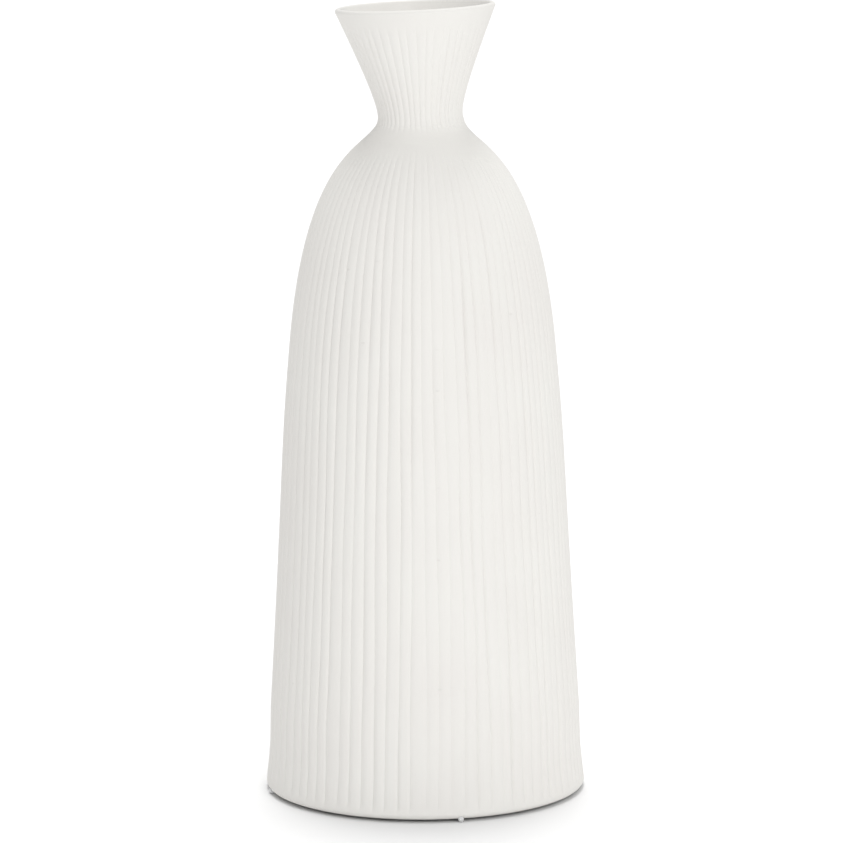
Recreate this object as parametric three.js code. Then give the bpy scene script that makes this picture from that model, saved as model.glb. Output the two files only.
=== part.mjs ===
// Ceramic bud vase, in millimetres, +Z up, origin on the table under the middle of the foot.
//
// The vase is put together in clay from three pieces: a bell-shaped body wall, a flared neck set on
// the collar of the wall, and a slab floor let into its foot. A coil of soft clay is worked into each
// join, one into the groove round the waist and one into the inside corner of the foot. The wall and
// the neck are combed with upright ribs, more of them round the wall than round the neck, and the
// neck was pushed a little to one side while it was soft. Four small clear bumper dots near the edge
// of the foot lift it off the table.
//
// Outlines are lists of (radius, height) points turned about the axis. Heights are measured from the
// foot plane, and all the clay stands on the dots in one raised group.

import * as THREE from "three";

// Driving dimensions.
const FOOT_RADIUS = 65.6;
const FOOT_ROUNDING = 2.2;
const SHOULDER = { radius: 54.2, height: 184.3 }; // where the wall turns into the shoulder
const WAIST = { radius: 17.2, height: 277.2 };
const LIP = { radius: 32.3, height: 319.6 }; // where the flare turns over into the lip
const THICKNESS = { foot: 6.6, shoulder: 5, waist: 4.8, lip: 2.4 };

const JOIN_GAP = 0.3; // the film of slip between two joined pieces
const SEAM = { height: 270.5, grooveBottom: 267.2, grooveTop: 273.5, grooveRadius: 17 };
const COIL_EDGE = { below: 0.8, above: 0.6 }; // how far the coil stops short of the groove's edges
const CUT_CLEARANCE = 1; // no outline point lies closer than this to a cut end
const NECK_LEAN = THREE.MathUtils.degToRad(2.4); // reached a little above the seam
const LEAN_DIRECTION = THREE.MathUtils.degToRad(-105); // round the axis, from -Y towards +X
const LEAN_HEIGHT = 8;

const FLOOR = { radius: 58.1, thickness: 6, coilLeg: 5.2 };

const RIB_DEPTH = 0.6;
const WALL_RIBS = { count: 76, footEnd: 2.5, footFull: 8, topFull: 256, topEnd: 266 };
const NECK_RIBS = { count: 50, footEnd: 273.5, footFull: 277, topFull: 309, topEnd: 315 };

const DOT = { count: 4, radius: 1.3, restRadius: 0.9, ringRadius: 63, firstAngle: 12.6 };
const FOOT_LIFT = 1.2; // from the table to the foot plane

const CLAY = { color: 0xf0efe9, roughness: 0.85, metalness: 0 };
const COIL_CLAY = { color: 0xe9e7e0, roughness: 0.9, metalness: 0 };
const CLEAR_RUBBER = { color: 0xdfe3e4, roughness: 0.3, metalness: 0 };

const point = (radius, height) => new THREE.Vector2(radius, height);

// The outer outline, from the foot to the lip, in three smooth stretches that only ever rise.
const OUTLINE = {
  wall: new THREE.CubicBezierCurve(
    point(FOOT_RADIUS, FOOT_ROUNDING),
    point(56.5, 143),
    point(59.1, 131),
    point(SHOULDER.radius, SHOULDER.height),
  ),
  shoulder: new THREE.CubicBezierCurve(
    point(SHOULDER.radius, SHOULDER.height),
    point(46.2, 271.2),
    point(WAIST.radius, 262.3),
    point(WAIST.radius, WAIST.height),
  ),
  flare: new THREE.CubicBezierCurve(
    point(WAIST.radius, WAIST.height),
    point(WAIST.radius, 283.1),
    point(24.1, 299.9),
    point(LIP.radius, LIP.height),
  ),
};

// The parameter at which a rising curve reaches a height.
function parameterAt(curve, height) {
  let low = 0;
  let high = 1;
  for (let halving = 0; halving < 40; halving++) {
    const middle = (low + high) / 2;
    if (curve.getPoint(middle).y < height) {
      low = middle;
    } else {
      high = middle;
    }
  }
  return low;
}

// Points of a curve between two heights, both included, set in from it by a thickness that may
// change evenly along the way.
function stretch(curve, fromHeight, toHeight, steps, fromThickness = 0, toThickness = fromThickness) {
  const first = parameterAt(curve, fromHeight);
  const last = parameterAt(curve, toHeight);
  return Array.from({ length: steps + 1 }, (_, step) => {
    const share = step / steps;
    const t = THREE.MathUtils.lerp(first, last, share);
    const tangent = curve.getTangent(t);
    const inward = point(-tangent.y, tangent.x);
    const thickness = THREE.MathUtils.lerp(fromThickness, toThickness, share);
    return curve.getPoint(t).addScaledVector(inward, thickness);
  });
}

// Points of a circular arc, with its angles in degrees from the direction of growing radius.
function arc(centre, radius, fromAngle, toAngle, steps) {
  return Array.from({ length: steps + 1 }, (_, step) => {
    const degrees = THREE.MathUtils.lerp(fromAngle, toAngle, step / steps);
    const angle = THREE.MathUtils.degToRad(degrees);
    return point(Math.cos(angle), Math.sin(angle)).multiplyScalar(radius).add(centre);
  });
}

// Where a line of points crosses a height.
function crossing(line, height) {
  const after = line.findIndex((p, i) => i > 0 && (p.y - height) * (line[i - 1].y - height) <= 0);
  const [a, b] = [line[after - 1], line[after]];
  return a.clone().lerp(b, (height - a.y) / (b.y - a.y));
}

// A closed outline turned about the axis, which ends up along +Z.
function turned(outline, segments) {
  return new THREE.LatheGeometry([...outline, outline[0]], segments).rotateX(Math.PI / 2);
}

// Turns an outline with two columns to each rib and sinks every other column into a groove. Only
// the first rows of the outline, those of the outer surface, are grooved.
function turnedWithRibs(outline, outerRows, ribs) {
  const geometry = turned(outline, 2 * ribs.count);
  const position = geometry.attributes.position;
  const rows = outline.length + 1;
  for (let column = 1; column < 2 * ribs.count; column += 2) {
    for (let row = 0; row < outerRows; row++) {
      const { x: radius, y: height } = outline[row];
      const above = THREE.MathUtils.smoothstep(height, ribs.footEnd, ribs.footFull);
      const below = 1 - THREE.MathUtils.smoothstep(height, ribs.topFull, ribs.topEnd);
      const scale = 1 - (RIB_DEPTH * above * below) / radius;
      const vertex = column * rows + row;
      position.setX(vertex, position.getX(vertex) * scale);
      position.setY(vertex, position.getY(vertex) * scale);
    }
  }
  return geometry;
}

// Bends a shape over at the seam: everything above it leans, the shape below stays upright.
function leaning(geometry) {
  const position = geometry.attributes.position;
  const pivot = new THREE.Vector3(0, 0, SEAM.height);
  const hinge = new THREE.Vector3(Math.cos(LEAN_DIRECTION), Math.sin(LEAN_DIRECTION), 0);
  const vertex = new THREE.Vector3();
  for (let i = 0; i < position.count; i++) {
    vertex.fromBufferAttribute(position, i);
    const share = THREE.MathUtils.smoothstep(vertex.z, SEAM.height, SEAM.height + LEAN_HEIGHT);
    vertex.sub(pivot).applyAxisAngle(hinge, NECK_LEAN * share).add(pivot);
    position.setXYZ(i, vertex.x, vertex.y, vertex.z);
  }
  return geometry;
}

function named(name, geometry, finish) {
  geometry.computeVertexNormals();
  const mesh = new THREE.Mesh(geometry, new THREE.MeshStandardMaterial(finish));
  mesh.name = name;
  return mesh;
}

// The inner surface under the outline of the shoulder, from the waist down.
const insideOfShoulder = stretch(
  OUTLINE.shoulder, SHOULDER.height, WAIST.height, 9, THICKNESS.shoulder, THICKNESS.waist,
).reverse();

// The bell-shaped wall, open at the collar above and at the foot below.
function bodyWall() {
  const collar = SEAM.height - JOIN_GAP / 2;
  const rounding = point(FOOT_RADIUS - FOOT_ROUNDING, FOOT_ROUNDING);
  const outside = [
    ...arc(rounding, FOOT_ROUNDING, -90, -30, 2),
    ...stretch(OUTLINE.wall, FOOT_ROUNDING, WALL_RIBS.footFull, 1),
    ...stretch(OUTLINE.wall, WALL_RIBS.footFull, SHOULDER.height, 4).slice(1),
    ...stretch(OUTLINE.shoulder, SHOULDER.height, WALL_RIBS.topFull, 6).slice(1),
    ...stretch(OUTLINE.shoulder, WALL_RIBS.topFull, SEAM.grooveBottom, 2).slice(1),
  ];
  const insideOfWall = stretch(
    OUTLINE.wall, FLOOR.thickness, SHOULDER.height, 3, THICKNESS.foot, THICKNESS.shoulder,
  ).reverse();
  const outline = [
    ...outside,
    point(SEAM.grooveRadius, collar),
    crossing(insideOfShoulder, collar),
    ...insideOfShoulder.filter((p) => p.y < collar - CUT_CLEARANCE),
    ...insideOfWall.slice(1),
    point(FLOOR.radius + JOIN_GAP, 0),
  ];
  return named("body_wall", turnedWithRibs(outline, outside.length, WALL_RIBS), CLAY);
}

// The flared neck, from the groove of the seam over the lip and back down the bore.
function neck() {
  const foot = SEAM.height + JOIN_GAP / 2;
  const outside = [
    point(SEAM.grooveRadius, foot),
    ...stretch(OUTLINE.shoulder, SEAM.grooveTop, WAIST.height, 2),
    ...stretch(OUTLINE.flare, WAIST.height, NECK_RIBS.topFull, 6).slice(1),
    ...stretch(OUTLINE.flare, NECK_RIBS.topFull, LIP.height, 2).slice(1),
  ];
  const rounding = THICKNESS.lip / 2;
  const rise = OUTLINE.flare.getTangent(1);
  const outward = THREE.MathUtils.radToDeg(Math.atan2(-rise.x, rise.y));
  const lipCentre = stretch(OUTLINE.flare, WAIST.height, LIP.height, 1, rounding)[1];
  const insideOfFlare = stretch(
    OUTLINE.flare, WAIST.height, LIP.height, 7, THICKNESS.waist, THICKNESS.lip,
  ).reverse();
  const outline = [
    ...outside,
    ...arc(lipCentre, rounding, outward, outward + 180, 6).slice(1),
    ...insideOfFlare.slice(1),
    ...insideOfShoulder.slice(1).filter((p) => p.y > foot + CUT_CLEARANCE),
    crossing(insideOfShoulder, foot),
  ];
  return named("neck", leaning(turnedWithRibs(outline, outside.length, NECK_RIBS)), CLAY);
}

// The coil worked into the groove round the waist, smoothed flush with the outline.
function neckSeamCoil() {
  const apex = point(SEAM.grooveRadius, SEAM.height);
  const corner = apex.clone();
  for (const edge of stretch(OUTLINE.shoulder, SEAM.grooveBottom, SEAM.grooveTop, 1)) {
    corner.addScaledVector(edge.sub(apex).normalize(), JOIN_GAP);
  }
  const [low, high] = [SEAM.grooveBottom + COIL_EDGE.below, SEAM.grooveTop - COIL_EDGE.above];
  const smoothed = stretch(OUTLINE.shoulder, low, high, 5);
  return named("neck_seam_coil", leaning(turned([...smoothed, corner], 72)), COIL_CLAY);
}

// The slab let into the foot.
function floorSlab() {
  const outline = [
    point(0, 0),
    point(FLOOR.radius, 0),
    point(FLOOR.radius, FLOOR.thickness),
    point(0, FLOOR.thickness),
  ];
  return named("floor_slab", new THREE.LatheGeometry(outline, 72).rotateX(Math.PI / 2), CLAY);
}

// The coil pressed into the inside corner between the slab and the wall, hollowed by a fingertip.
function footCornerCoil() {
  const corner = point(FLOOR.radius - JOIN_GAP, FLOOR.thickness + JOIN_GAP);
  const onWall = point(corner.x, corner.y + FLOOR.coilLeg);
  const onSlab = point(corner.x - FLOOR.coilLeg, corner.y);
  const pressed = onWall.clone().add(onSlab).add(corner).divideScalar(3);
  const hollow = new THREE.QuadraticBezierCurve(onWall, pressed, onSlab).getPoints(4);
  return named("foot_corner_coil", turned([corner, ...hollow], 72), COIL_CLAY);
}

// A clear self-adhesive bumper dot, a low dome with a small flat to rest on.
function bumperDot(index) {
  const stuckAt = FOOT_LIFT - JOIN_GAP;
  const rest = point(DOT.restRadius, 0);
  const side = new THREE.QuadraticBezierCurve(rest, point(DOT.radius, 0), point(DOT.radius, stuckAt));
  const outline = [point(0, 0), ...side.getPoints(4), point(0, stuckAt)];
  const geometry = new THREE.LatheGeometry(outline, 24).rotateX(Math.PI / 2);
  const mesh = named("bumper_dot_" + (index + 1), geometry, CLEAR_RUBBER);
  const angle = THREE.MathUtils.degToRad(DOT.firstAngle + (360 / DOT.count) * index);
  mesh.position.set(DOT.ringRadius * Math.sin(angle), -DOT.ringRadius * Math.cos(angle), 0);
  return mesh;
}

const clay = new THREE.Group();
clay.position.z = FOOT_LIFT;
clay.add(bodyWall(), neck(), neckSeamCoil(), floorSlab(), footCornerCoil());

const vase = new THREE.Group();
vase.add(clay);
for (let index = 0; index < DOT.count; index++) {
  vase.add(bumperDot(index));
}

export default vase;
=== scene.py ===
"""The looks of a hand-built ceramic bud vase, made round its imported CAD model.

The body and the neck are turned outlines whose outside is combed into upright ribs by hand, so no
two ribs are alike. A coil of clay is smoothed over the join at the waist, the foot is closed by a
slab with a coil in its inside corner, and the vase stands on four clear beads of silicone.

Lengths are in metres. Outlines are (radius, height) points, heights are above the foot plane, and
angles go round the axis from the front, towards the right.
"""
import math
import random

import bmesh
import bpy
from mathutils import Matrix, Vector, noise


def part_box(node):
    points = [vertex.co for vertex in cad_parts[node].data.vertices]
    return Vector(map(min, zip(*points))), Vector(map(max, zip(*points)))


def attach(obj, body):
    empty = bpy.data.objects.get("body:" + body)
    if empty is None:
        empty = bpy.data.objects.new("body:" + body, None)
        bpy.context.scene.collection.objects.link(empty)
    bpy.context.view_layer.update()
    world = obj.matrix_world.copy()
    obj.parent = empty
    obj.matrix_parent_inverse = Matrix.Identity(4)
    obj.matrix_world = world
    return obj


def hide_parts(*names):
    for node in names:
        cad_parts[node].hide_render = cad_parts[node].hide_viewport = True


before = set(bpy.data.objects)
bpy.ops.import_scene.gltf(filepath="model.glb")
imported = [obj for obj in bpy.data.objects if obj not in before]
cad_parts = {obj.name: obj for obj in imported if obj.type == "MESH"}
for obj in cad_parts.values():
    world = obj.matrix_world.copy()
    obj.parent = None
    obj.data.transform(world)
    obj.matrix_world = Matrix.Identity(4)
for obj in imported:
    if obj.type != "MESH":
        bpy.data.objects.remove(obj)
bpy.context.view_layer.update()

MM = 0.001
MICRON = 1e-6

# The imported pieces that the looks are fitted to.
wall_low, wall_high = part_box("body_wall")
_, slab_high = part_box("floor_slab")
corner_low, corner_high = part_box("foot_corner_coil")

FOOT_PLANE = wall_low.z
FOOT_RADIUS = wall_high.x
FOOT_ROUNDING = 2.2 * MM
FOOT_DIP = 0.6 * MM  # the wall draws in a little just above the foot
FOOT_DIP_TOP = 34 * MM

SHOULDER = Vector((54.2, 184.3)) * MM  # where the wall turns into the shoulder
WAIST = Vector((17.2, 277.2)) * MM
LIP = Vector((32.3, 319.56)) * MM  # where the flare turns over into the lip
FOOT_THICKNESS = 6.6 * MM
SHOULDER_THICKNESS = 5.0 * MM
WAIST_THICKNESS = 4.8 * MM
LIP_THICKNESS = 2.4 * MM

SEAM = wall_high.z - FOOT_PLANE  # the height where the neck stands on the wall
SEAM_BOTTOM = 267.2 * MM
SEAM_TOP = 273.5 * MM
SEAM_GROOVE = 17 * MM
BELOW_SEAM = 0.5 * MM  # the bore's rings keep this far below the seam in the wall,
ABOVE_SEAM = 1 * MM  # and this far above it in the neck
JOIN_GAP = 0.3 * MM  # the film of slip between two joined pieces
NECK_LEAN = math.radians(2.4)
LEAN_DIRECTION = math.radians(-105)
LEAN_HEIGHT = 8 * MM  # the lean is reached this far above the seam

SLAB_RADIUS = slab_high.x
SLAB_THICKNESS = slab_high.z - FOOT_PLANE

# The outer outline in three smooth stretches.
WALL_CURVE = (
    Vector((FOOT_RADIUS, FOOT_ROUNDING)),
    Vector((56.5, 143)) * MM,
    Vector((59.1, 131)) * MM,
    SHOULDER,
)
SHOULDER_CURVE = (SHOULDER, Vector((46.2, 271.2)) * MM, Vector((17.2, 262.3)) * MM, WAIST)
FLARE_CURVE = (WAIST, Vector((17.2, 283.1)) * MM, Vector((24.1, 299.9)) * MM, LIP)


# ---------------------------------------------------------------- outlines

def mix(a, b, share):
    """The value a share of the way from a to b."""
    return a + (b - a) * share


def smooth(value, start, end):
    """0 before start, 1 after end, and an S curve between."""
    share = min(max((value - start) / (end - start), 0.0), 1.0)
    return share * share * (3 - 2 * share)


def on_curve(curve, t):
    """The point of a cubic Bezier curve at t, and its direction there."""
    a, b, c, d = curve
    s = 1 - t
    place = a * s**3 + b * (3 * s * s * t) + c * (3 * s * t * t) + d * t**3
    way = (b - a) * (s * s) + (c - b) * (2 * s * t) + (d - c) * (t * t)
    return place, way.normalized()


def parameter_at(curve, height):
    """Where a rising curve reaches a height."""
    low, high = 0.0, 1.0
    for _ in range(40):
        middle = (low + high) / 2
        if on_curve(curve, middle)[0].y < height:
            low = middle
        else:
            high = middle
    return low


def stretch(curve, low, high, steps, inset=0.0, last_inset=None):
    """Points of a curve between two heights, set in by a thickness that may change on the way."""
    last_inset = inset if last_inset is None else last_inset
    first, last = parameter_at(curve, low), parameter_at(curve, high)
    points = []
    for step in range(steps + 1):
        share = step / steps
        place, way = on_curve(curve, mix(first, last, share))
        inward = Vector((-way.y, way.x))
        points.append(place + inward * mix(inset, last_inset, share))
    return points


def arc(centre, radius, first, last, steps):
    """Points of a circular arc, with its angles in degrees from the direction of growing radius."""
    points = []
    for step in range(steps + 1):
        angle = math.radians(mix(first, last, step / steps))
        points.append(centre + Vector((math.cos(angle), math.sin(angle))) * radius)
    return points


def at(angle, radius, height):
    """The place in the frame of a point on a turned piece."""
    return Vector((radius * math.sin(angle), -radius * math.cos(angle), FOOT_PLANE + height))


def lean(place):
    """Bends what is above the seam over to one side, as the neck was pushed while it was soft."""
    pivot = Vector((0, 0, FOOT_PLANE + SEAM))
    share = smooth(place.z, pivot.z, pivot.z + LEAN_HEIGHT)
    hinge = Vector((math.cos(LEAN_DIRECTION), math.sin(LEAN_DIRECTION), 0))
    return Matrix.Rotation(NECK_LEAN * share, 3, hinge) @ (place - pivot) + pivot


# ---------------------------------------------------------------- ribs

class Ribs:
    """Upright ribs combed by hand: convex, with narrow grooves between them that wander a little."""

    STEPS = (0.0, 0.05, 0.14, 0.32, 0.5, 0.68, 0.86, 0.95)  # columns of a rib, close at its grooves
    WIDTHS = (0.84, 1.16)  # the ribs' widths and the grooves' depths, as shares of the usual one
    DEPTHS = (0.6, 1.2)
    SHARPNESS = (2.0, 3.4)  # how steeply a groove's sides fall

    def __init__(self, count, depth, foot_fade, top_fade, seed, lighter=None, drift=0.0):
        """The comb's marks on one piece.

        The ribs fade in between the two heights of foot_fade and out between those of top_fade.
        lighter is two heights and the share of the depth that is left above them. drift is the share
        by which ribs are narrower at the right of the piece and wider at its left.
        """
        draw = random.Random(seed)
        widths = [
            draw.uniform(*self.WIDTHS) * (1 - drift * math.sin(2 * math.pi * rib / count))
            for rib in range(count)
        ]
        turn = 2 * math.pi / sum(widths)
        self.count = count
        self.foot_fade = foot_fade
        self.top_fade = top_fade
        self.lighter = lighter
        self.seed = seed
        self.widths = [width * turn for width in widths]
        self.starts = [sum(self.widths[:rib]) for rib in range(count)]
        self.depths = [depth * draw.uniform(*self.DEPTHS) for _ in range(count)]
        self.sharpness = [draw.uniform(*self.SHARPNESS) for _ in range(count)]

    def unevenness(self, groove, height, round_scale, rise_scale, layer=0):
        """Soft noise over the grooves. The scales are features to a groove and to a metre of height."""
        return noise.noise(Vector((groove * round_scale, height * rise_scale, self.seed + layer)))

    def wander(self, groove, height):
        """How far round a groove has strayed at a height: with its neighbours, and on its own."""
        together = self.unevenness(groove, height, 0.17, 8)
        alone = self.unevenness(groove, height, 5.3, 20, layer=40)
        return (0.3 * together + 0.15 * alone) * 2 * math.pi / self.count

    def depth(self, groove, height):
        """How deep a groove is at a height."""
        pressure = self.unevenness(groove, height, 3.1, 22, layer=80)
        above = smooth(height, *self.foot_fade)
        below = 1 - smooth(height, *self.top_fade)
        if self.lighter:
            start, end, share = self.lighter
            below *= mix(1, share, smooth(height, start, end))
        return self.depths[groove] * (1 + 0.5 * pressure) * above * below

    def valley(self, groove, away):
        """The share of a groove's depth that is left at a share of a rib away from it."""
        return max(1 - 2 * away, 0.0) ** self.sharpness[groove]

    def ring(self, radius, height):
        """(angle, radius) of every column at a height of the outside."""
        wander = [self.wander(groove, height) for groove in range(self.count)]
        depth = [self.depth(groove, height) for groove in range(self.count)]
        columns = []
        for rib in range(self.count):
            after = (rib + 1) % self.count
            for share in self.STEPS:
                angle = self.starts[rib] + self.widths[rib] * share
                angle += mix(wander[rib], wander[after], share)
                cut = depth[rib] * self.valley(rib, share)
                cut += depth[after] * self.valley(after, 1 - share)
                columns.append((angle, radius - cut))
        return columns

    def plain_ring(self, radius):
        """The same columns where there are no ribs."""
        return [
            (self.starts[rib] + self.widths[rib] * share, radius)
            for rib in range(self.count)
            for share in self.STEPS
        ]


# ---------------------------------------------------------------- meshes

def piece_from_rings(name, rings, material, replaced, closed=True, glazed=None):
    """A closed piece from rings of places: each ring is joined to the next and the last to the first.

    A ring of one place is a pole. A piece that starts and ends with poles isn't closed again.
    glazed gives each ring's share of glaze.
    """
    bm = bmesh.new()
    glaze = bm.verts.layers.float.new("glaze")
    count = max(len(ring) for ring in rings)
    loops = []
    for index, ring in enumerate(rings):
        verts = [bm.verts.new(place) for place in ring]
        for vert in verts:
            vert[glaze] = glazed[index] if glazed else 0.0
        loops.append(verts if len(verts) == count else verts * count)
    pairs = list(zip(loops, loops[1:]))
    if closed:
        pairs.append((loops[-1], loops[0]))
    for lower, upper in pairs:
        for i in range(count):
            j = (i + 1) % count
            corners = list(dict.fromkeys((lower[i], lower[j], upper[j], upper[i])))
            bm.faces.new(corners).smooth = True
    bmesh.ops.recalc_face_normals(bm, faces=bm.faces)
    mesh = bpy.data.meshes.new(name)
    bm.to_mesh(mesh)
    bm.free()
    mesh.materials.append(material)
    piece = bpy.data.objects.new(name, mesh)
    bpy.context.collection.objects.link(piece)
    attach(piece, "root")
    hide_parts(replaced)
    return piece


def round_ring(point, count, waver=0.0, seed=0.0):
    """One even ring of a turned piece, or its pole on the axis. waver moves the surface in and out."""
    if point.x < MICRON:
        return [at(0, 0, point.y)]
    ring = []
    for column in range(count):
        angle = 2 * math.pi * column / count
        rough = noise.noise(Vector((3 * math.cos(angle), 3 * math.sin(angle), seed + point.y * 90)))
        ring.append(at(angle, point.x - waver * (0.5 + 0.5 * rough), point.y))
    return ring


wall_ribs = Ribs(
    76, 0.6 * MM, (1.5 * MM, 6 * MM), (258 * MM, 266 * MM), seed=11,
    lighter=(205 * MM, 262 * MM, 0.45), drift=0.09,
)
neck_ribs = Ribs(50, 0.36 * MM, (270.5 * MM, 274.5 * MM), (310 * MM, 316 * MM), seed=29)


def foot_dip(point):
    """A point of the wall's outline, drawn in a little where it is just above the foot."""
    share = min(max(point.y / FOOT_DIP_TOP, 0.0), 1.0)
    return Vector((point.x - FOOT_DIP * math.sin(math.pi * share) ** 2, point.y))


def shoulder_inside():
    """The inner surface from the waist down to the shoulder."""
    points = stretch(
        SHOULDER_CURVE, SHOULDER.y, WAIST.y, 24, SHOULDER_THICKNESS, WAIST_THICKNESS
    )
    return points[::-1]


def make_wall(material):
    """The bell-shaped wall, combed outside and glazed inside."""
    comb_full = 9 * MM  # the rings stand close below this height and above the next
    comb_fading = 256 * MM
    rounding = Vector((FOOT_RADIUS - FOOT_ROUNDING, FOOT_ROUNDING))
    outside = arc(rounding, FOOT_ROUNDING, -90, -12, 5)
    outside += stretch(WALL_CURVE, FOOT_ROUNDING, comb_full, 6)
    outside += stretch(WALL_CURVE, comb_full, SHOULDER.y, 46)[1:]
    outside += stretch(SHOULDER_CURVE, SHOULDER.y, comb_fading, 30)[1:]
    outside += stretch(SHOULDER_CURVE, comb_fading, SEAM_BOTTOM, 20)[1:]
    inside = [point for point in shoulder_inside() if point.y < SEAM - BELOW_SEAM]
    inside += stretch(
        WALL_CURVE, SLAB_THICKNESS, SHOULDER.y, 12, FOOT_THICKNESS, SHOULDER_THICKNESS
    )[-2::-1]
    seat = Vector((SLAB_RADIUS + JOIN_GAP, 0))
    rings = [
        [at(angle, radius, point.y) for angle, radius in wall_ribs.ring(point.x, point.y)]
        for point in map(foot_dip, outside)
    ]
    plain = [Vector((SEAM_GROOVE, SEAM)), *inside, seat]
    rings += [
        [at(angle, radius, point.y) for angle, radius in wall_ribs.plain_ring(point.x)]
        for point in plain
    ]
    glazed = [0.0] * len(outside) + [0.0] + [1.0] * len(inside) + [0.0]
    return piece_from_rings(
        "combed_wall", rings, material, "body_wall", glazed=glazed
    )


def make_neck(material):
    """The flared neck with its thin rounded lip, combed outside and glazed inside."""
    comb_fading = 309 * MM  # the rings stand closer above this height
    stands_at = SEAM + JOIN_GAP
    outside = [Vector((SEAM_GROOVE, stands_at))]
    outside += stretch(SHOULDER_CURVE, SEAM_TOP, WAIST.y, 6)
    outside += stretch(FLARE_CURVE, WAIST.y, comb_fading, 30)[1:]
    outside += stretch(FLARE_CURVE, comb_fading, LIP.y, 12)[1:]
    rise = on_curve(FLARE_CURVE, 1)[1]
    outward = math.degrees(math.atan2(-rise.x, rise.y))
    lip_centre = LIP + Vector((-rise.y, rise.x)) * LIP_THICKNESS / 2
    lip = arc(lip_centre, LIP_THICKNESS / 2, outward, outward + 180, 12)[1:]
    inside = stretch(
        FLARE_CURVE, WAIST.y, LIP.y, 30, WAIST_THICKNESS, LIP_THICKNESS
    )[-2::-1]
    bore = [point for point in shoulder_inside()[1:] if point.y > SEAM + ABOVE_SEAM]
    foot = Vector((shoulder_inside()[len(bore) + 1].x, stands_at))
    rings = [
        [lean(at(angle, radius, point.y)) for angle, radius in neck_ribs.ring(point.x, point.y)]
        for point in outside
    ]
    rings += [
        [lean(at(angle, radius, point.y)) for angle, radius in neck_ribs.plain_ring(point.x)]
        for point in [*lip, *inside, *bore, foot]
    ]
    glazed = [0.0] * len(outside)
    glaze_edge = 4  # the glaze starts at this ring of the lip and is full just past its last
    glazed += [smooth(step, glaze_edge, len(lip)) for step in range(len(lip))]
    glazed += [1.0] * (len(inside) + len(bore)) + [0.0]
    return piece_from_rings(
        "flared_neck", rings, material, "neck", glazed=glazed
    )


def make_waist_coil(material):
    """The coil over the join at the waist, wiped out thin over both edges of the groove.

    The comb of the neck runs on over its upper edge.
    """
    proud = 0.02 * MM  # above the outline halfway, and sunk as deep at both edges
    below, above = 1.6 * MM, 1.2 * MM
    steps = 24
    groove_clearance = 0.4 * MM
    low, high = SEAM_BOTTOM - below, SEAM_TOP + above
    outline = stretch(SHOULDER_CURVE, low, high, steps)
    inner_line = stretch(SHOULDER_CURVE, low, high, steps, 1 * MM)
    smoothed = []
    for step, (place, inner) in enumerate(zip(outline, inner_line)):
        outward = (place - inner).normalized()
        smoothed.append(place - outward * proud * math.cos(2 * math.pi * step / steps))
    corner = Vector((SEAM_GROOVE + groove_clearance, SEAM + JOIN_GAP))
    rings = [
        [lean(at(angle, radius, point.y)) for angle, radius in neck_ribs.ring(point.x, point.y)]
        for point in smoothed
    ]
    rings.append([
        lean(at(angle, radius, corner.y)) for angle, radius in neck_ribs.plain_ring(corner.x)
    ])
    return piece_from_rings(
        "waist_coil", rings, material, "neck_seam_coil"
    )


def make_slab(material):
    """The slab floor, its edges softened, its underside trimmed with faint turning rings."""
    edge = 0.5 * MM
    rings_apart = 2.6 * MM
    ring_depth = 0.06 * MM
    steps = 60
    top = SLAB_THICKNESS
    outline = [Vector((0, 0))]
    for step in range(1, steps):
        radius = (SLAB_RADIUS - edge) * step / steps
        ripple = ring_depth * (0.5 - 0.5 * math.cos(2 * math.pi * radius / rings_apart))
        outline.append(Vector((radius, ripple)))
    outline += arc(Vector((SLAB_RADIUS - edge, edge)), edge, -90, 0, 4)
    outline += arc(Vector((SLAB_RADIUS - edge, top - edge)), edge, 0, 90, 4)
    outline += [Vector((SLAB_RADIUS * share, top)) for share in (0.8, 0.5, 0.2)]
    outline.append(Vector((0, top)))
    rings = [round_ring(point, 128) for point in outline]
    return piece_from_rings(
        "foot_slab", rings, material, "floor_slab", closed=False
    )


def make_corner_coil(material):
    """The coil in the inside corner of the foot, pressed in and hollowed by a fingertip."""
    corner = Vector((corner_high.x, corner_low.z - FOOT_PLANE))
    leg = corner_high.z - corner_low.z
    on_wall = corner + Vector((0, leg))
    on_slab = corner - Vector((leg, 0))
    pressed = (corner + on_wall + on_slab) / 3
    outline = [corner]
    steps = 8
    for step in range(steps + 1):
        share = step / steps
        first = on_wall.lerp(pressed, share)
        outline.append(first.lerp(pressed.lerp(on_slab, share), share))
    rings = [round_ring(point, 256, waver=0.4 * MM, seed=7.0) for point in outline]
    return piece_from_rings(
        "pressed_corner_coil", rings, material, "foot_corner_coil"
    )


def foot_underside(radius):
    """How high the rounded underside of the foot is at a radius."""
    reach = min(max(radius - (FOOT_RADIUS - FOOT_ROUNDING), 0.0), FOOT_ROUNDING)
    return FOOT_PLANE + FOOT_ROUNDING - math.sqrt(FOOT_ROUNDING**2 - reach**2)


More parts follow.
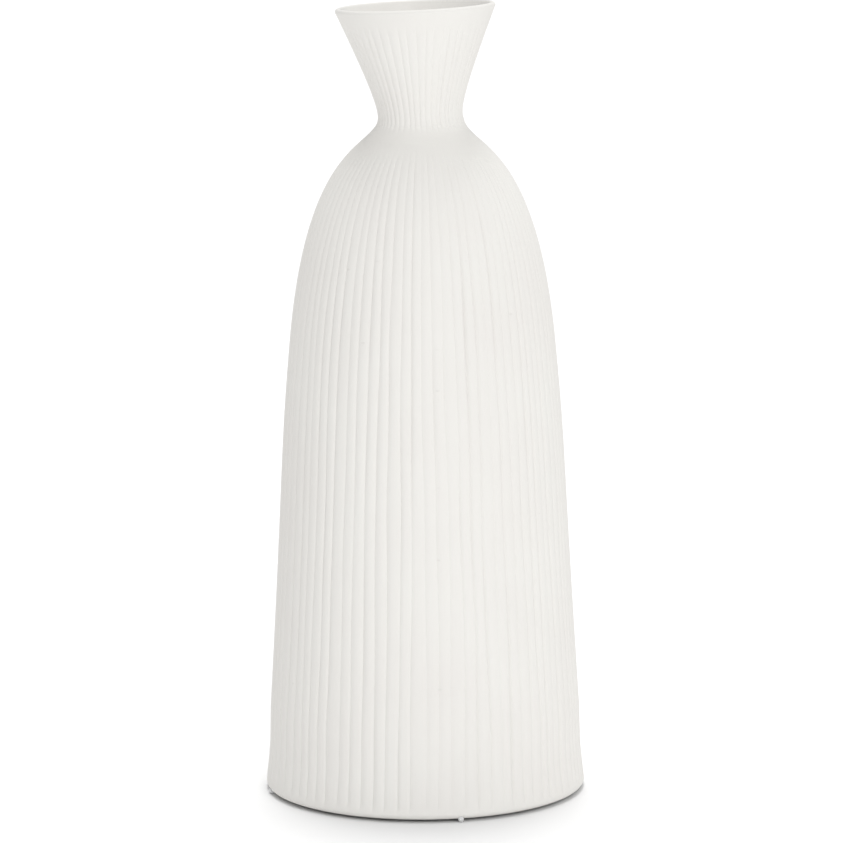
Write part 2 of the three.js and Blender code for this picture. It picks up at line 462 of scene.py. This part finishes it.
def make_beads(material):
    """The clear bumper dots: beads squeezed out past the edge of the foot, flat where they rest."""
    squeezed_out = 1.4 * MM  # from the middle of the CAD dot to the middle of the bead
    outwards, sideways, upwards = 1.7 * MM, 1.25 * MM, 1.4 * MM  # its half sizes
    middle_height = 0.95  # in half heights, so that its bottom is pressed flat
    clearance = 0.03 * MM
    steps, columns_round = 24, 48
    for number in range(1, 5):
        node = f"bumper_dot_{number}"
        low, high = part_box(node)
        stuck = Vector(((low.x + high.x) / 2, (low.y + high.y) / 2, 0))
        out = stuck.normalized()
        side = Vector((-out.y, out.x, 0))
        centre = stuck + out * squeezed_out
        rings = []
        for step in range(steps + 1):
            tilt = math.pi * (step / steps - 0.5)
            columns = 1 if step in (0, steps) else columns_round
            ring = []
            for column in range(columns):
                turn = 2 * math.pi * column / columns
                place = centre + out * outwards * math.cos(tilt) * math.cos(turn)
                place += side * sideways * math.cos(tilt) * math.sin(turn)
                ceiling = foot_underside(place.xy.length) - clearance
                height = upwards * (middle_height + math.sin(tilt))
                place.z = min(max(height, 0.0), ceiling)
                ring.append(place)
            rings.append(ring)
        piece_from_rings(
            f"clear_bead_{number}", rings, material, node, closed=False
        )


# ---------------------------------------------------------------- materials

class Nodes:
    """A new material's node tree, with short ways to add and join its nodes."""

    def __init__(self, name):
        self.material = bpy.data.materials.new(name)
        self.material.use_nodes = True
        self.tree = self.material.node_tree
        self.shader = self.tree.nodes["Principled BSDF"]
        self.place = self.add("ShaderNodeTexCoord").outputs["Object"]

    def add(self, kind, **values):
        """A node, with inputs set by name and other properties set as attributes."""
        node = self.tree.nodes.new(kind)
        for name, value in values.items():
            socket = name.replace("_", " ").title()
            if socket in node.inputs:
                node.inputs[socket].default_value = value
            else:
                setattr(node, name, value)
        return node

    def join(self, output, socket):
        self.tree.links.new(output, socket)

    def noise(self, scale, detail, stretched=(1, 1, 1)):
        """Soft noise from 0 to 1. Scale is in features to a metre."""
        mapping = self.add("ShaderNodeMapping")
        mapping.inputs["Scale"].default_value = stretched
        self.join(self.place, mapping.inputs["Vector"])
        texture = self.add("ShaderNodeTexNoise", scale=scale, detail=detail)
        self.join(mapping.outputs["Vector"], texture.inputs["Vector"])
        return texture.outputs["Fac"]

    def between(self, share, low, high, start=0.3, end=0.7):
        """A number from low to high as share goes from start to end."""
        node = self.add("ShaderNodeMapRange")
        self.join(share, node.inputs["Value"])
        ends = {"From Min": start, "From Max": end, "To Min": low, "To Max": high}
        for name, value in ends.items():
            node.inputs[name].default_value = value
        return node.outputs["Result"]

    def blend(self, share, first, second):
        """A colour between two others, each a colour or a socket."""
        node = self.add("ShaderNodeMix", data_type="RGBA")
        self.join(share, node.inputs["Factor"])
        for socket, colour in ((node.inputs[6], first), (node.inputs[7], second)):
            if isinstance(colour, tuple):
                socket.default_value = (*colour, 1)
            else:
                self.join(colour, socket)
        return node.outputs[2]

    def bump(self, height, distance, below=None):
        """Relief from a height, added to the relief below it."""
        node = self.add("ShaderNodeBump", distance=distance, strength=1.0)
        self.join(height, node.inputs["Height"])
        if below:
            self.join(below, node.inputs["Normal"])
        return node.outputs["Normal"]

    def nicks(self, scale, size):
        """1 inside small scattered nicks, wider than they are tall, 0 elsewhere."""
        mapping = self.add("ShaderNodeMapping")
        mapping.inputs["Scale"].default_value = (1, 1, 2)
        self.join(self.place, mapping.inputs["Vector"])
        cells = self.add("ShaderNodeTexVoronoi", scale=scale)
        self.join(mapping.outputs["Vector"], cells.inputs["Vector"])
        spot = self.between(cells.outputs["Distance"], 1.0, 0.0, size * 0.5, size)
        rare = self.add("ShaderNodeSeparateColor")
        self.join(cells.outputs["Color"], rare.inputs["Color"])
        chosen = self.between(rare.outputs["Red"], 0.0, 1.0, 0.97, 1.0)
        both = self.add("ShaderNodeMath", operation="MULTIPLY")
        self.join(spot, both.inputs[0])
        self.join(chosen, both.inputs[1])
        return both.outputs["Value"]


GLAZE_ROUGHNESS = 0.28
DRAG_RELIEF = 0.03 * MM  # the fine lines that the comb drags up the clay
PIT_RELIEF = 0.05 * MM


def ceramic(name, light, shade, roughness, grain):
    """Fired white clay: fine tooth, faint cloudy tone, rare pits, and glaze where the mesh says."""
    nodes = Nodes(name)
    clouds = nodes.noise(28, 5)
    drag = nodes.noise(240, 3, stretched=(1, 1, 0.06))
    tooth = nodes.noise(2600, 6)
    pits = nodes.nicks(170, 0.2)

    colour = nodes.blend(nodes.between(clouds, 0, 1), light, shade)
    colour = nodes.blend(nodes.between(drag, 0, 0.35), colour, shade)
    dark = tuple(channel * 0.95 for channel in shade)
    colour = nodes.blend(pits, colour, dark)
    nodes.join(colour, nodes.shader.inputs["Base Color"])

    glaze = nodes.add("ShaderNodeAttribute", attribute_name="glaze").outputs["Fac"]
    dry = nodes.between(tooth, roughness - 0.06, roughness + 0.06)
    gloss = nodes.add("ShaderNodeMix", data_type="FLOAT")
    nodes.join(glaze, gloss.inputs["Factor"])
    nodes.join(dry, gloss.inputs[2])
    gloss.inputs[3].default_value = GLAZE_ROUGHNESS
    nodes.join(gloss.outputs[0], nodes.shader.inputs["Roughness"])

    relief = nodes.bump(tooth, grain)
    relief = nodes.bump(nodes.between(drag, 0, 1), DRAG_RELIEF, relief)
    sunk = nodes.between(pits, 1, 0, 0, 1)
    nodes.join(nodes.bump(sunk, PIT_RELIEF, relief), nodes.shader.inputs["Normal"])
    nodes.shader.inputs["IOR"].default_value = 1.45
    nodes.shader.inputs["Specular IOR Level"].default_value = 0.35
    return nodes.material


def clear_rubber():
    """Clear soft silicone, very slightly clouded, with a fine skin."""
    nodes = Nodes("clear_silicone")
    haze = nodes.noise(900, 3)
    colour = nodes.blend(nodes.between(haze, 0, 1), (0.95, 0.95, 0.95), (0.9, 0.91, 0.91))
    nodes.join(colour, nodes.shader.inputs["Base Color"])
    nodes.join(nodes.between(haze, 0.12, 0.24), nodes.shader.inputs["Roughness"])
    nodes.join(nodes.bump(haze, 0.01 * MM), nodes.shader.inputs["Normal"])
    nodes.shader.inputs["Transmission Weight"].default_value = 0.3
    nodes.shader.inputs["IOR"].default_value = 1.41
    return nodes.material


# ---------------------------------------------------------------- studio

FLOOR_SIZE = 24
CAMERA_DISTANCE = 1.92
CAMERA_ELEVATION = math.radians(9.5)
CAMERA_ROLL = math.radians(0.4)
CAMERA_LENS = 200.6
CAMERA_AIM = Vector((-0.6 * MM, 0, FOOT_PLANE + 151.1 * MM))


def make_floor():
    """A wide pale floor."""
    nodes = Nodes("pale_floor")
    tone = nodes.between(nodes.noise(3, 2), 0, 1)
    colour = nodes.blend(tone, (0.73, 0.73, 0.73), (0.72, 0.72, 0.72))
    nodes.join(colour, nodes.shader.inputs["Base Color"])
    nodes.shader.inputs["Roughness"].default_value = 0.9
    nodes.shader.inputs["Specular IOR Level"].default_value = 0.1
    bpy.ops.mesh.primitive_plane_add(size=FLOOR_SIZE)
    floor = bpy.context.object
    floor.name = "floor"
    floor.data.materials.append(nodes.material)
    return floor


def make_sun(name, azimuth, elevation, width, strength):
    """A soft round light, far off, that fills an angle of its width. Angles are in degrees.

    A strength of 1 makes a white sheet that faces the light just white.
    """
    light = bpy.data.lights.new(name, "SUN")
    light.angle = math.radians(width)
    light.energy = strength * math.pi
    lamp = bpy.data.objects.new(name, light)
    bpy.context.collection.objects.link(lamp)
    turn, rise = math.radians(azimuth), math.radians(elevation)
    across = math.cos(rise)
    towards = Vector((across * math.sin(turn), -across * math.cos(turn), math.sin(rise)))
    lamp.rotation_euler = towards.to_track_quat("Z", "Y").to_euler()
    return lamp


def light_only(lamp, lit):
    """Keeps a lamp's light to one object, as a studio lights its backdrop by itself."""
    receivers = bpy.data.collections.new(lamp.name + "_receivers")
    receivers.objects.link(lit)
    lamp.light_linking.receiver_collection = receivers


def make_world(strength):
    """White light from all round."""
    world = bpy.data.worlds.new("white_room")
    world.use_nodes = True
    background = world.node_tree.nodes["Background"]
    background.inputs["Color"].default_value = (1, 1, 1, 1)
    background.inputs["Strength"].default_value = strength
    bpy.context.scene.world = world


def make_camera():
    """The camera, a little above the vase and rolled a hair."""
    camera = bpy.data.objects.new("camera", bpy.data.cameras.new("camera"))
    camera.data.sensor_width = 36
    camera.data.lens = CAMERA_LENS
    back = Vector((0, -math.cos(CAMERA_ELEVATION), math.sin(CAMERA_ELEVATION)))
    tilt = Matrix.Rotation(math.pi / 2 - CAMERA_ELEVATION, 4, "X")
    roll = Matrix.Rotation(-CAMERA_ROLL, 4, "Z")
    camera.matrix_world = Matrix.Translation(CAMERA_AIM + back * CAMERA_DISTANCE) @ tilt @ roll
    bpy.context.collection.objects.link(camera)
    bpy.context.scene.camera = camera


make_camera()
make_world(0.66)
make_sun("key", 23, 30, 35, 0.3)
make_sun("overhead", 180, 73, 22, 0.37)
floor_lamp = make_sun("floor_lamp", 180, 82, 30, 0.42)
light_only(floor_lamp, make_floor())

warm_white = ceramic(
    "matte_ceramic", light=(0.782, 0.773, 0.742), shade=(0.764, 0.747, 0.719),
    roughness=0.8, grain=0.02 * MM,
)
bare_clay = ceramic(
    "bare_ceramic", light=(0.7, 0.68, 0.63), shade=(0.66, 0.637, 0.585),
    roughness=0.88, grain=0.05 * MM,
)

make_wall(warm_white)
make_neck(warm_white)
make_waist_coil(warm_white)
make_slab(bare_clay)
make_corner_coil(bare_clay)
make_beads(clear_rubber())

bpy.context.scene.view_settings.view_transform = "Standard"
